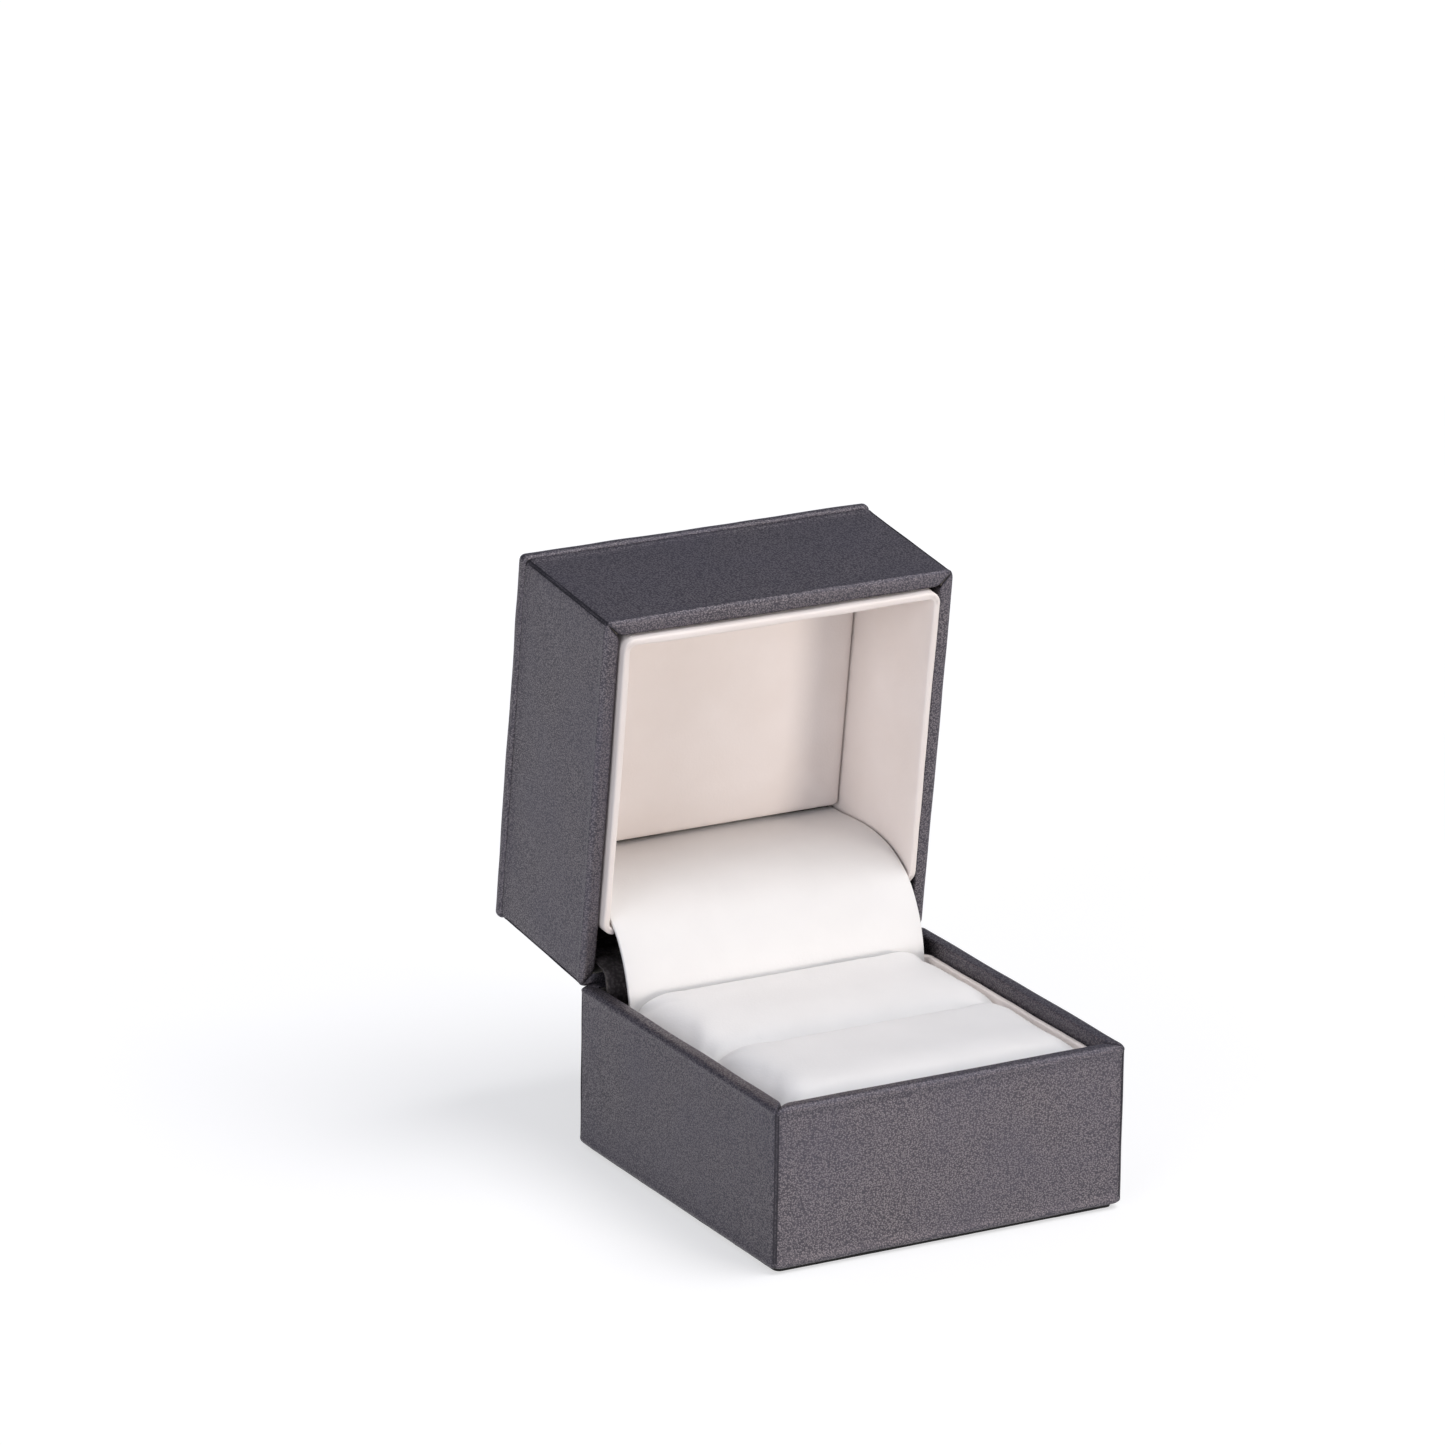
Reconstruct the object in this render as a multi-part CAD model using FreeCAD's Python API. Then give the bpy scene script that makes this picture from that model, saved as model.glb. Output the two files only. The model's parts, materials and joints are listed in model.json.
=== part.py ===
import FreeCAD, Part
import math
import os

os.makedirs("parts", exist_ok=True)
V = FreeCAD.Vector

# Driving dimensions in millimetres, angles in degrees
box_width = 57.0        # outside of the walls, the same across and front to back
base_rim = 24.75        # table to the base's rim
parting_gap = 0.3       # between the rims when the lid is shut
lid_wall = 24.65        # height of the lid's walls
open_angle = 83.2       # how far the lid stands open
axis_inset = 0.5        # hinge axis in from the back face
leather = 0.4           # leatherette skin
board = 1.4             # greyboard of the walls
turn_in = 6.0           # skin folded over the rim and down the inside
mitre_gap = 0.04        # half the gap in each corner mitre
foot_height = 0.7
foot_inset = 0.9
floor_board = 1.8
deck_board = 1.5        # closes the top of the lid
end_fullness = 0.5      # how much higher than its crest a pad's end-to-end arch would rise

# Places worked out from them
half = box_width / 2
wall = board + 2 * leather
board_face = half - leather - board
axis_y = half - axis_inset
axis_z = base_rim + parting_gap / 2
lid_rim = base_rim + parting_gap
lid_top = lid_rim + lid_wall
deck_low = lid_top - deck_board
floor_top = foot_height + floor_board


def box(x0, x1, y0, y1, z0, z1):
    return Part.makeBox(x1 - x0, y1 - y0, z1 - z0, V(x0, y0, z0))


def prism_along_x(outline, x0, x1):
    points = [V(x0, y, z) for y, z in outline]
    face = Part.Face(Part.makePolygon(points + points[:1]))
    return face.extrude(V(x1 - x0, 0, 0))


def cylinder_along_x(radius, x0, x1, y, z):
    return Part.makeCylinder(radius, x1 - x0, V(x0, y, z), V(1, 0, 0))


def edges_at(shape, **place):
    def lies(vertex):
        return all(abs(getattr(vertex, name) - value) < 0.001 for name, value in place.items())
    return [edge for edge in shape.Edges if all(lies(v) for v in edge.Vertexes)]


def rounded_box(x0, x1, y0, y1, z0, z1, corner):
    block = box(x0, x1, y0, y1, z0, z1)
    upright = [e for e in block.Edges if abs(e.tangentAt(e.FirstParameter).z) > 0.9]
    return block.makeFillet(corner, upright)


def arched_block(x0, x1, y0, y1, foot, edge_x, edge_y, crest, corner):
    def arch(low, high, edge, top, place):
        left, right = place(low, edge), place(high, edge)
        curve = Part.Arc(left, place((low + high) / 2, top), right).toShape()
        sides = Part.makePolygon([right, place(high, foot), place(low, foot), left])
        return Part.Face(Part.Wire([curve] + sides.Edges))
    end_crest = crest + (crest - edge_x) * end_fullness
    across = arch(x0, x1, edge_x, end_crest, lambda x, z: V(x, y0, z)).extrude(V(0, y1 - y0, 0))
    along = arch(y0, y1, edge_y, crest, lambda y, z: V(x0, y, z)).extrude(V(x1 - x0, 0, 0))
    plan = rounded_box(x0, x1, y0, y1, min(foot, crest) - 1, max(foot, crest) + 1, corner)
    return across.common(along).common(plan)


def opened(shape):
    turned = shape.copy()
    turned.rotate(V(0, axis_y, axis_z), V(-1, 0, 0), open_angle)
    return turned


def shut_to_lid(shape):
    return shape.mirror(V(0, 0, axis_z), V(0, 0, 1))


def save(name, shape):
    if not shape.isValid():
        raise ValueError(name + " is not a valid shape")
    shape.exportStep("parts/" + name + ".step")
    print(name, "solids", len(shape.Solids), "volume", round(shape.Volume, 2))


def save_base(name, shape):
    save(name, shape.removeSplitter())


def save_lid(name, shape):
    save(name, opened(shape.removeSplitter()))


# Room for the hinge along the back edges: a chamfer through the axis, and a trough and slot for the barrel
chamfer_clear = 0.1
barrel_half = 22.0
spine_radius = 0.9
lid_trough = 1.1
web_room = 0.55
chamfer_reach = 5.0

chamfer_outline = [
    (axis_y - chamfer_clear + chamfer_reach, axis_z - chamfer_reach),
    (axis_y + 2 * chamfer_reach, axis_z - chamfer_reach),
    (axis_y + 2 * chamfer_reach, axis_z + chamfer_reach),
    (axis_y - chamfer_clear - chamfer_reach, axis_z + chamfer_reach),
]
base_chamfer = prism_along_x(chamfer_outline, -half - 1, half + 1)
lid_chamfer = shut_to_lid(base_chamfer)
trough_end = barrel_half + 0.3


def hinge_trough(radius):
    slot = box(-trough_end, trough_end, half - wall - chamfer_clear, axis_y,
               axis_z - web_room, axis_z + web_room)
    return cylinder_along_x(radius, -trough_end, trough_end, axis_y, axis_z).fuse(slot)


# Walls: a greyboard panel with mitred ends, each wrapped in its own leatherette skin
rim_round = 0.9
inner_round = 0.5
heel_round = 0.5
corner_round = 0.12
quarter_turns = {"front": 0, "right": 90, "back": 180, "left": 270}


def mitred_panel(outer, inner, low, high):
    corners = [(-outer + mitre_gap, -outer), (outer - mitre_gap, -outer),
               (inner - mitre_gap, -inner), (-inner + mitre_gap, -inner)]
    points = [V(x, y, low) for x, y in corners]
    return Part.Face(Part.makePolygon(points + points[:1])).extrude(V(0, 0, high - low))


def wall_board(low, high):
    return mitred_panel(half - leather, board_face, low + leather, high - leather)


def wall_skin(rim, heel, fold):
    low, high = min(rim, heel), max(rim, heel)
    section = box(-half, half, -half, -half + wall, low, high)
    section = section.makeFillet(rim_round, edges_at(section, Y=-half, Z=rim))
    section = section.makeFillet(inner_round, edges_at(section, Y=-half + wall, Z=rim))
    section = section.makeFillet(heel_round, edges_at(section, Y=-half, Z=heel))
    plan = mitred_panel(half, half - wall, low, high)
    upright = [e for e in edges_at(plan, Y=-half) if abs(e.tangentAt(e.FirstParameter).z) > 0.9]
    plan = plan.makeFillet(corner_round, upright)
    fold_end = rim - fold if rim > heel else rim + fold
    bare_low, bare_high = sorted((heel, fold_end))
    bare = box(-half, half, -board_face, -half + wall + 1, bare_low - 1, bare_high)
    if rim < heel:
        bare = box(-half, half, -board_face, -half + wall + 1, bare_low, bare_high + 1)
    return section.common(plan).cut(wall_board(low, high)).cut(bare)


# Rivets hold the leaves and the middle of the spring to the back boards
rivet_xs = (-16.0, 0.0, 16.0)
rivet_drop = 5.5
rivet_shank = 0.55
rivet_hole = 0.6
rivet_head = 1.1
rivet_head_height = 0.35


def rivet_holes():
    holes = [Part.makeCylinder(rivet_hole, 6, V(x, board_face - 4, axis_z - rivet_drop), V(0, 1, 0))
             for x in rivet_xs]
    return Part.makeCompound(holes)


base_rivet_holes = rivet_holes()
lid_rivet_holes = shut_to_lid(base_rivet_holes)

for side, turn in quarter_turns.items():
    at_back = side == "back"
    for name, rim, heel, put in (("base", base_rim, foot_height, save_base),
                                 ("lid", lid_rim, lid_top, save_lid)):
        panel = wall_board(min(rim, heel), max(rim, heel))
        skin = wall_skin(rim, heel, 0 if at_back else turn_in)
        panel.rotate(V(0, 0, 0), V(0, 0, 1), turn)
        skin.rotate(V(0, 0, 0), V(0, 0, 1), turn)
        if side != "front":
            chamfer = base_chamfer if name == "base" else lid_chamfer
            panel = panel.cut(chamfer)
            skin = skin.cut(chamfer)
        if at_back:
            trough = hinge_trough(spine_radius if name == "base" else lid_trough)
            panel = panel.cut(trough).cut(base_rivet_holes if name == "base" else lid_rivet_holes)
            skin = max(skin.cut(trough).Solids, key=lambda solid: solid.Volume)
        put(name + "_" + side + "_board", panel)
        put(name + "_" + side + "_skin", skin)

# Flocked foot and the floor it is glued to
foot_half = half - foot_inset
save_base("foot_pad", rounded_box(-foot_half, foot_half, -foot_half, foot_half, 0, foot_height, 1.0))
floor_half = board_face - 0.1
save_base("base_floor_board",
          box(-floor_half, floor_half, -floor_half, floor_half, foot_height, floor_top))

# Cream liners: a card ring in the base and a deeper one in the lid, each with a rounded lip
liner_corner = 2.0
lip_round = 0.4


def liner_ring(side, front, back, thick, low, high, lip):
    ring = rounded_box(-side, side, front, back, low, high, liner_corner)
    hole = rounded_box(-side + thick, side - thick, front + thick, back - thick,
                       low - 1, high + 1, liner_corner - thick + 0.2)
    ring = ring.cut(hole)
    return ring.makeFillet(lip_round, edges_at(ring, Z=lip))


base_liner_side = 26.2
base_liner_back = 22.5
base_liner_thick = 1.0
base_lip = base_rim - 1.2
save_base("base_liner", liner_ring(base_liner_side, -base_liner_side, base_liner_back,
                                   base_liner_thick, floor_top, base_lip, base_lip))
lid_liner_side = 26.1
lid_liner_back = 20.5
lid_liner_thick = 1.1
lid_lip = lid_rim - 0.7
save_lid("lid_liner", liner_ring(lid_liner_side, -lid_liner_side, lid_liner_back,
                                 lid_liner_thick, lid_lip, deck_low, lid_lip))

# Ring cushion: two foam rolls in white covers on a card, with the ring slot between them
cushion_side = 25.0
cushion_back = 20.4
cushion_corner = 1.4
slot_place = -1.7
slot_half = 0.2
cushion_card = 1.2
roll_crest = base_rim + 0.4
roll_end = base_rim - 1.9
roll_shoulder = base_rim - 3.0
roll_cover = 0.5
card_top = floor_top + cushion_card
save_base("cushion_card", rounded_box(-cushion_side, cushion_side, -cushion_side, cushion_back,
                                      floor_top, card_top, cushion_corner))
rolls = {"front_roll": (-cushion_side, slot_place - slot_half),
         "rear_roll": (slot_place + slot_half, cushion_back)}
for name, (front, back) in rolls.items():
    whole = arched_block(-cushion_side, cushion_side, front, back,
                         card_top, roll_end, roll_shoulder, roll_crest, cushion_corner)
    foam = arched_block(-cushion_side + roll_cover, cushion_side - roll_cover,
                        front + roll_cover, back - roll_cover, card_top,
                        roll_end - roll_cover, roll_shoulder - roll_cover, roll_crest - roll_cover,
                        cushion_corner - roll_cover)
    save_base(name + "_foam", foam)
    save_base(name + "_cover", whole.cut(foam))

# Lid deck and the padded panel that lines it
save_lid("lid_deck_board", box(-floor_half, floor_half, -floor_half, floor_half, deck_low, lid_top))
pad_side = 24.8
pad_back = 17.2
pad_corner = 1.4
pad_card = 1.2
pad_cover = 0.4
pad_edge = lid_rim + 19.2
pad_crest = lid_rim + 18.4
pad_card_low = deck_low - pad_card
pad_core = rounded_box(-pad_side + pad_cover, pad_side - pad_cover, -pad_side + pad_cover,
                       pad_back - pad_cover, pad_card_low, deck_low, pad_corner - pad_cover)
save_lid("lid_pad_card", pad_core)
pad_whole = arched_block(-pad_side, pad_side, -pad_side, pad_back,
                         deck_low, pad_edge, pad_edge, pad_crest, pad_corner)
pad_foam = arched_block(-pad_side + pad_cover, pad_side - pad_cover, -pad_side + pad_cover,
                        pad_back - pad_cover, pad_card_low,
                        pad_edge + pad_cover, pad_edge + pad_cover, pad_crest + pad_cover,
                        pad_corner - pad_cover)
save_lid("lid_pad_foam", pad_foam)
save_lid("lid_pad_cover", pad_whole.cut(pad_foam).cut(pad_core))

# Stitched top panel: card, thin foam and a leatherette cover turned under the edges
panel_half = half + 0.35
panel_edge = 1.9
panel_crown = 0.8
panel_round = 0.8
panel_skin = 0.45
panel_card = 1.0
dome_half = panel_half - 1.6
dome_corner = 1.0
card_half = panel_half - 0.6
panel_top = lid_top + panel_edge
card_low = lid_top + leather
slab = rounded_box(-panel_half, panel_half, -panel_half, panel_half, lid_top, panel_top, 0.9)
slab = slab.makeFillet(panel_round, edges_at(slab, Z=panel_top))
dome = arched_block(-dome_half, dome_half, -dome_half, dome_half, lid_top + panel_edge / 2,
                    panel_top, panel_top, panel_top + panel_crown, dome_corner)
top_card = box(-card_half, card_half, -card_half, card_half, card_low, card_low + panel_card)
top_foam = arched_block(-dome_half, dome_half, -dome_half, dome_half, card_low + panel_card,
                        panel_top - panel_skin, panel_top - panel_skin, panel_top + panel_crown - panel_skin,
                        dome_corner)
under_half = panel_half - turn_in
under_gap = box(-under_half, under_half, -under_half, under_half, lid_top - 1, card_low)
top_cover = slab.fuse(dome).cut(top_card).cut(top_foam).cut(under_gap)
save_lid("top_panel_card", top_card)
save_lid("top_panel_foam", top_foam)
save_lid("top_panel_cover", top_cover)

# Border stitching, each stitch half sunk in the cover
stitch_line = panel_half - 4.6
stitch_pitch = 3.0
stitch_length = 2.2
stitch_radius = 0.2
stitch_rise = 0.1
stitches_per_side = int(2 * stitch_line / stitch_pitch)


def cover_height(x, y):
    def arc_height(t):
        radius = (dome_half ** 2 + panel_crown ** 2) / (2 * panel_crown)
        return math.sqrt(radius ** 2 - t ** 2) - radius + panel_crown
    return panel_top + min((1 + end_fullness) * arc_height(x), arc_height(y))


stitches = []
for index in range(stitches_per_side):
    along = (index - (stitches_per_side - 1) / 2) * stitch_pitch
    for side in (-stitch_line, stitch_line):
        height = cover_height(along, side) - stitch_radius + stitch_rise
        stitches.append(Part.makeCylinder(stitch_radius, stitch_length,
                                          V(along - stitch_length / 2, side, height), V(1, 0, 0)))
        stitches.append(Part.makeCylinder(stitch_radius, stitch_length,
                                          V(side, along - stitch_length / 2, height), V(0, 1, 0)))
save("top_panel_stitching", opened(Part.makeCompound(stitches)))

# Hinge leaves with five knuckles in turn on one pin
leaf_thick = 0.5
leaf_height = 9.0
leaf_room = 0.35        # leaf edge to the plane through the axis
web_thick = 0.5
web_lap = 0.3           # web run into its knuckle
knuckle_radius = 0.7
pin_radius = 0.3
pin_play = 0.05
knuckle_count = 5
knuckle_gap = 0.15
knuckle_pitch = 2 * barrel_half / knuckle_count


def leaf(first):
    plate = box(-barrel_half, barrel_half, board_face - leaf_thick, board_face,
                axis_z - leaf_height, axis_z - leaf_room)
    web_back = axis_y - knuckle_radius + web_lap
    bore = cylinder_along_x(pin_radius + pin_play, -barrel_half - 1, barrel_half + 1, axis_y, axis_z)
    for index in range(first, knuckle_count, 2):
        x0 = -barrel_half + index * knuckle_pitch + knuckle_gap / 2
        x1 = x0 + knuckle_pitch - knuckle_gap
        web = box(x0, x1, board_face - leaf_thick, web_back, axis_z - web_thick, axis_z)
        plate = plate.fuse(web).fuse(cylinder_along_x(knuckle_radius, x0, x1, axis_y, axis_z))
    return plate.cut(bore).cut(base_rivet_holes)


save_base("hinge_base_leaf", leaf(0))
save_lid("hinge_lid_leaf", shut_to_lid(leaf(1)))
save_base("hinge_pin", cylinder_along_x(pin_radius, -barrel_half, barrel_half, axis_y, axis_z))

# Straps bent round the barrel: the snap spring, and the black gusset that hides the hinge
spring_half = 5.0
spring_thick = 0.25
spring_inner = 1.95
spring_leg = 8.0
gusset_half = 25.9
gusset_inner = 2.6
gusset_leg = 7.0


def bent_strap(half_width, inner, thick, leg):
    front = axis_y - inner - thick
    base_leg = box(-half_width, half_width, front, axis_y - inner, axis_z - leg, axis_z)
    lid_leg = opened(box(-half_width, half_width, front, axis_y - inner, axis_z, axis_z + leg))
    bend = Part.Face(Part.makePolygon([
        V(-half_width, front, axis_z), V(half_width, front, axis_z),
        V(half_width, axis_y - inner, axis_z), V(-half_width, axis_y - inner, axis_z),
        V(-half_width, front, axis_z)]))
    bend = bend.revolve(V(0, axis_y, axis_z), V(-1, 0, 0), open_angle)
    return base_leg.fuse(bend).fuse(lid_leg)


spring_hole_lid = opened(lid_rivet_holes)
save_base("snap_spring", bent_strap(spring_half, spring_inner, spring_thick, spring_leg)
          .cut(base_rivet_holes).cut(spring_hole_lid))
save_base("hinge_gusset", bent_strap(gusset_half, gusset_inner, leather, gusset_leg))


def rivet(x):
    head_back = board_face - leaf_thick
    if abs(x) < spring_half:
        head_back = axis_y - spring_inner - spring_thick
    head = Part.makeCylinder(rivet_head, rivet_head_height,
                             V(x, head_back - rivet_head_height, axis_z - rivet_drop), V(0, 1, 0))
    shank = Part.makeCylinder(rivet_shank, board_face + board - head_back,
                              V(x, head_back, axis_z - rivet_drop), V(0, 1, 0))
    return head.fuse(shank).removeSplitter()


rivets = Part.makeCompound([rivet(x) for x in rivet_xs])
save("hinge_base_rivets", rivets)
save("hinge_lid_rivets", opened(shut_to_lid(rivets)))

# Leatherette spine round the back of the barrel, glued to the base's back board
spine_thick = 0.15
spine_half = barrel_half - 0.1
spine_from, spine_to = -90.0, 40.0
spine = cylinder_along_x(spine_radius, -spine_half, spine_half, axis_y, axis_z)
spine = spine.cut(cylinder_along_x(spine_radius - spine_thick, -half, half, axis_y, axis_z))
sector_reach = 2 * spine_radius


def around(angle):
    turn = math.radians(angle)
    return (axis_y + sector_reach * math.cos(turn), axis_z + sector_reach * math.sin(turn))


spine_middle = (spine_from + spine_to) / 2
sector = [(axis_y, axis_z), around(spine_from), around(spine_middle - 35), around(spine_middle),
          around(spine_middle + 35), around(spine_to)]
save_base("hinge_spine", spine.common(prism_along_x(sector, -half, half)))

# White flap that bows from behind the cushion to the back corner of the lid's padding
flap_half = 24.5
flap_thick = 0.6
flap_lid_y = 18.0
flap_line = [(20.9, -9.0), (20.9, -4.0), (21.1, -0.8), (22.0, 2.4), (23.4, 5.4), (25.6, 8.7),
             (29.6, 11.3), (34.0, 12.6), (38.5, 12.9), (42.5, 12.7)]


def flap_tuck(depth):
    point = Part.Vertex(V(0, flap_lid_y, lid_rim + depth))
    place = opened(point).Point
    return (place.y, place.z)


flap_middle = [(y, base_rim + rise) for y, rise in flap_line] + [flap_tuck(19.0), flap_tuck(22.0)]


def flap_side(offset):
    points = []
    last = len(flap_middle) - 1
    for index, (y, z) in enumerate(flap_middle):
        ahead = flap_middle[min(index + 1, last)]
        behind = flap_middle[max(index - 1, 0)]
        run, rise = ahead[0] - behind[0], ahead[1] - behind[1]
        length = math.hypot(run, rise)
        points.append(V(-flap_half, y - offset * rise / length, z + offset * run / length))
    curve = Part.BSplineCurve()
    curve.interpolate(points)
    return curve.toShape(), points


front_edge, front_points = flap_side(flap_thick / 2)
rear_edge, rear_points = flap_side(-flap_thick / 2)
flap_ends = [Part.makeLine(front_points[0], rear_points[0]), Part.makeLine(front_points[-1], rear_points[-1])]
flap_face = Part.Face(Part.Wire(Part.__sortEdges__([front_edge, rear_edge] + flap_ends)))
save_base("hinge_flap", flap_face.extrude(V(2 * flap_half, 0, 0)))
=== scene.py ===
import json
import math
import bpy
from mathutils import Matrix, Vector, noise


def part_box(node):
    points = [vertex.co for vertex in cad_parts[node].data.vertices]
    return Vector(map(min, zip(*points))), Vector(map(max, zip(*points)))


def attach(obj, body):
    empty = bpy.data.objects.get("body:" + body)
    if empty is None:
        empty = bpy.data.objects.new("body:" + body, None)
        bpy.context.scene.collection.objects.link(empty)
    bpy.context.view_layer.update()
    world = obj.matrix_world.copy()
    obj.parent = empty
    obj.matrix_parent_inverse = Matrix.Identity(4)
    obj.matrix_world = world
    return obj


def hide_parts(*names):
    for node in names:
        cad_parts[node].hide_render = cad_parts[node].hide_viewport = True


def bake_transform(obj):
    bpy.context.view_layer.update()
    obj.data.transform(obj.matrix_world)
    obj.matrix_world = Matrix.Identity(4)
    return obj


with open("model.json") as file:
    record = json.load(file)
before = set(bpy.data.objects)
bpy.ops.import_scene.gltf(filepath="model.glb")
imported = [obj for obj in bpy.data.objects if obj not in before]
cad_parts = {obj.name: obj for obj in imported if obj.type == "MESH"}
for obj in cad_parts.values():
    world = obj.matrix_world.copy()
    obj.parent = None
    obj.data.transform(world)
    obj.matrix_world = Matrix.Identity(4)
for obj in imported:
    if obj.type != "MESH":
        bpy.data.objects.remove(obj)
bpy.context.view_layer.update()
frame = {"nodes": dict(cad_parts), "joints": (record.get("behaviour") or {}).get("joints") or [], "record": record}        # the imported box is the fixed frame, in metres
mm = 0.001
tiny = 0.00001           # closer than this is the same place
mergeGap = 0.002 * mm
rightAngle = math.pi / 2
panelCrease, roundCrease, softCrease = 50, 60, 75        # edges up to this many degrees are shaded smooth
sharpEdge = 60                                           # and a slab's edges from here on are rounded

# Places read from the frame; the lid's pieces are modelled shut and then opened about the hinge
hinge = frame["joints"][0]
hingePoint = Vector(hinge["pos_m"])
openAngle = math.radians(-hinge["range_deg"][0])
toHinge = Matrix.Translation(hingePoint)
lidOpen = toHinge @ Matrix.Rotation(openAngle, 4, Vector(hinge["axis"])) @ toHinge.inverted()
lidShut = lidOpen.inverted()


def shutBox(node):
    points = [lidShut @ v.co for v in frame["nodes"][node].data.vertices]
    low = Vector([min(p[i] for p in points) for i in range(3)])
    high = Vector([max(p[i] for p in points) for i in range(3)])
    return low, high


frontLow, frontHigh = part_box("base_front_skin")
lidLow, lidHigh = shutBox("lid_front_skin")
half = -frontLow.y                      # outside of the walls from the middle
wall = frontHigh.y - frontLow.y         # skin, board and skin
baseRim, baseHeel = frontHigh.z, frontLow.z
lidRim, lidTop = lidLow.z, lidHigh.z
print("frame: half", round(half / mm, 2), "wall", round(wall / mm, 2), "rims", baseRim / mm, lidRim / mm)


# Small helpers: starting, selecting, shaping and finishing meshes
def activate(piece):
    bpy.ops.object.select_all(action="DESELECT")
    piece.select_set(True)
    bpy.context.view_layer.objects.active = piece


def newPiece(name, scale=(1, 1, 1), turn=(0, 0, 0), place=(0, 0, 0)):
    piece = bpy.context.object          # the object just made
    piece.name = name
    piece.data.name = name
    piece.scale, piece.rotation_euler, piece.location = scale, turn, place
    activate(piece)
    bpy.ops.object.transform_apply(location=True, rotation=True, scale=True)
    return piece


def startPiece(name, primitive, sizes, **stand):
    bpy.ops.object.select_all(action="DESELECT")
    primitive(**sizes)
    return newPiece(name, **stand)


def startBox(name, size, place):
    return startPiece(name, bpy.ops.mesh.primitive_cube_add, {"size": 1}, scale=size, place=place)


def startRod(name, sides, radius, length, **stand):
    sizes = {"vertices": sides, "radius": radius, "depth": length}
    return startPiece(name, bpy.ops.mesh.primitive_cylinder_add, sizes, **stand)


def upright(a, b):
    return abs(a.z - b.z) > tiny


def level(a, b):
    return abs(a.z - b.z) < tiny


def lengthwise(a, b):
    return abs(a.x - b.x) > tiny


def lyingFlat(normal):
    return abs(normal.z) > 0.9


def pick(piece, kind, test):
    activate(piece)
    bpy.ops.object.mode_set(mode="EDIT")
    bpy.ops.mesh.select_mode(type=kind)
    bpy.ops.mesh.select_all(action="DESELECT")
    bpy.ops.object.mode_set(mode="OBJECT")
    mesh = piece.data
    if kind == "EDGE":
        for e in mesh.edges:
            e.select = test(*[mesh.vertices[i].co for i in e.vertices])
    else:
        for f in mesh.polygons:
            f.select = test(f.normal)
    bpy.ops.object.mode_set(mode="EDIT")


def pickAll(piece):
    activate(piece)
    bpy.ops.object.mode_set(mode="EDIT")
    bpy.ops.mesh.select_all(action="SELECT")


def done():
    bpy.ops.object.mode_set(mode="OBJECT")


def divide(piece, test, cuts):
    pick(piece, "EDGE", test)
    bpy.ops.mesh.subdivide(number_cuts=cuts)
    done()


def slide(x, y, z):
    bpy.ops.mesh.extrude_region_move(TRANSFORM_OT_translate={"value": (x, y, z)})


def spin(angle, y, z, steps):
    bpy.ops.mesh.spin(steps=steps, angle=angle, center=(0, y, z), axis=(1, 0, 0))


def finishWith(piece, kind, **settings):
    activate(piece)
    modifier = piece.modifiers.new(kind, kind)
    for key, value in settings.items():
        setattr(modifier, key, value)
    bpy.ops.object.modifier_apply(modifier=modifier.name)


def softenEdges(piece, width, degrees):
    finishWith(piece, "BEVEL", width=width, segments=2, limit_method="ANGLE",
               angle_limit=math.radians(degrees))


def cutAway(piece, tool):
    finishWith(piece, "BOOLEAN", object=tool, operation="DIFFERENCE", solver="EXACT")
    bpy.data.objects.remove(tool)


def faceOut(piece):
    pickAll(piece)
    bpy.ops.mesh.remove_doubles(threshold=mergeGap)
    bpy.ops.mesh.normals_make_consistent(inside=False)
    done()


def smooth(piece, degrees):
    activate(piece)
    bpy.ops.object.shade_smooth_by_angle(angle=math.radians(degrees))


def copyOf(piece, name):
    twin = piece.copy()
    twin.data = piece.data.copy()       # each copy has its own mesh
    twin.name = twin.data.name = name
    bpy.context.scene.collection.objects.link(twin)
    return twin


def move(piece, matrix):
    piece.data.transform(matrix)
    piece.data.update()


def normalsOf(piece):
    return [n.vector.copy() for n in piece.data.vertex_normals]


def ripple(piece, size, depth, seed):
    for v, n in zip(piece.data.vertices, normalsOf(piece)):
        v.co += n * depth * noise.noise(v.co / size + Vector((seed, 2 * seed, -seed)))
    piece.data.update()


def fade(t):
    t = min(max(t, 0.0), 1.0)
    return t * t * (3 - 2 * t)


# A flat slab is cut into strips, then its corners and its sharp edges are rounded
def roundSlab(piece, cuts, corner, edge, segments):
    divide(piece, level, cuts)
    reachX = max(v.co.x for v in piece.data.vertices)
    reachY = max(v.co.y for v in piece.data.vertices)
    pick(piece, "EDGE", lambda a, b: upright(a, b) and abs(a.x) > reachX - tiny and abs(a.y) > reachY - tiny)
    bpy.ops.mesh.bevel(offset=corner, segments=4)
    bpy.ops.mesh.select_all(action="DESELECT")
    bpy.ops.mesh.edges_select_sharp(sharpness=math.radians(sharpEdge))
    bpy.ops.mesh.bevel(offset=edge, segments=segments)
    done()


# Colours are written as sRGB hex and turned to linear here
def paint(hexCode):
    parts = [int(hexCode[i:i + 2], 16) / 255 for i in (1, 3, 5)]
    return (*[c / 12.92 if c <= 0.04045 else ((c + 0.055) / 1.055) ** 2.4 for c in parts], 1.0)


def addNode(tree, kind, settings=None, values=None, links=None):
    made = tree.nodes.new("ShaderNode" + kind)
    for key, value in (settings or {}).items():
        setattr(made, key, value)
    for key, value in (values or {}).items():
        made.inputs[key].default_value = value
    for key, source in (links or {}).items():
        tree.links.new(source, made.inputs[key])
    return made


def newMaterial(name, values):
    material = bpy.data.materials.new(name)
    material.use_nodes = True
    tree = material.node_tree
    shader = tree.nodes["Principled BSDF"]
    for key, value in values.items():
        shader.inputs[key].default_value = value
    return material, tree, shader


def plugIn(tree, shader, sources):
    for key, source in sources.items():
        tree.links.new(source, shader.inputs[key])


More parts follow.
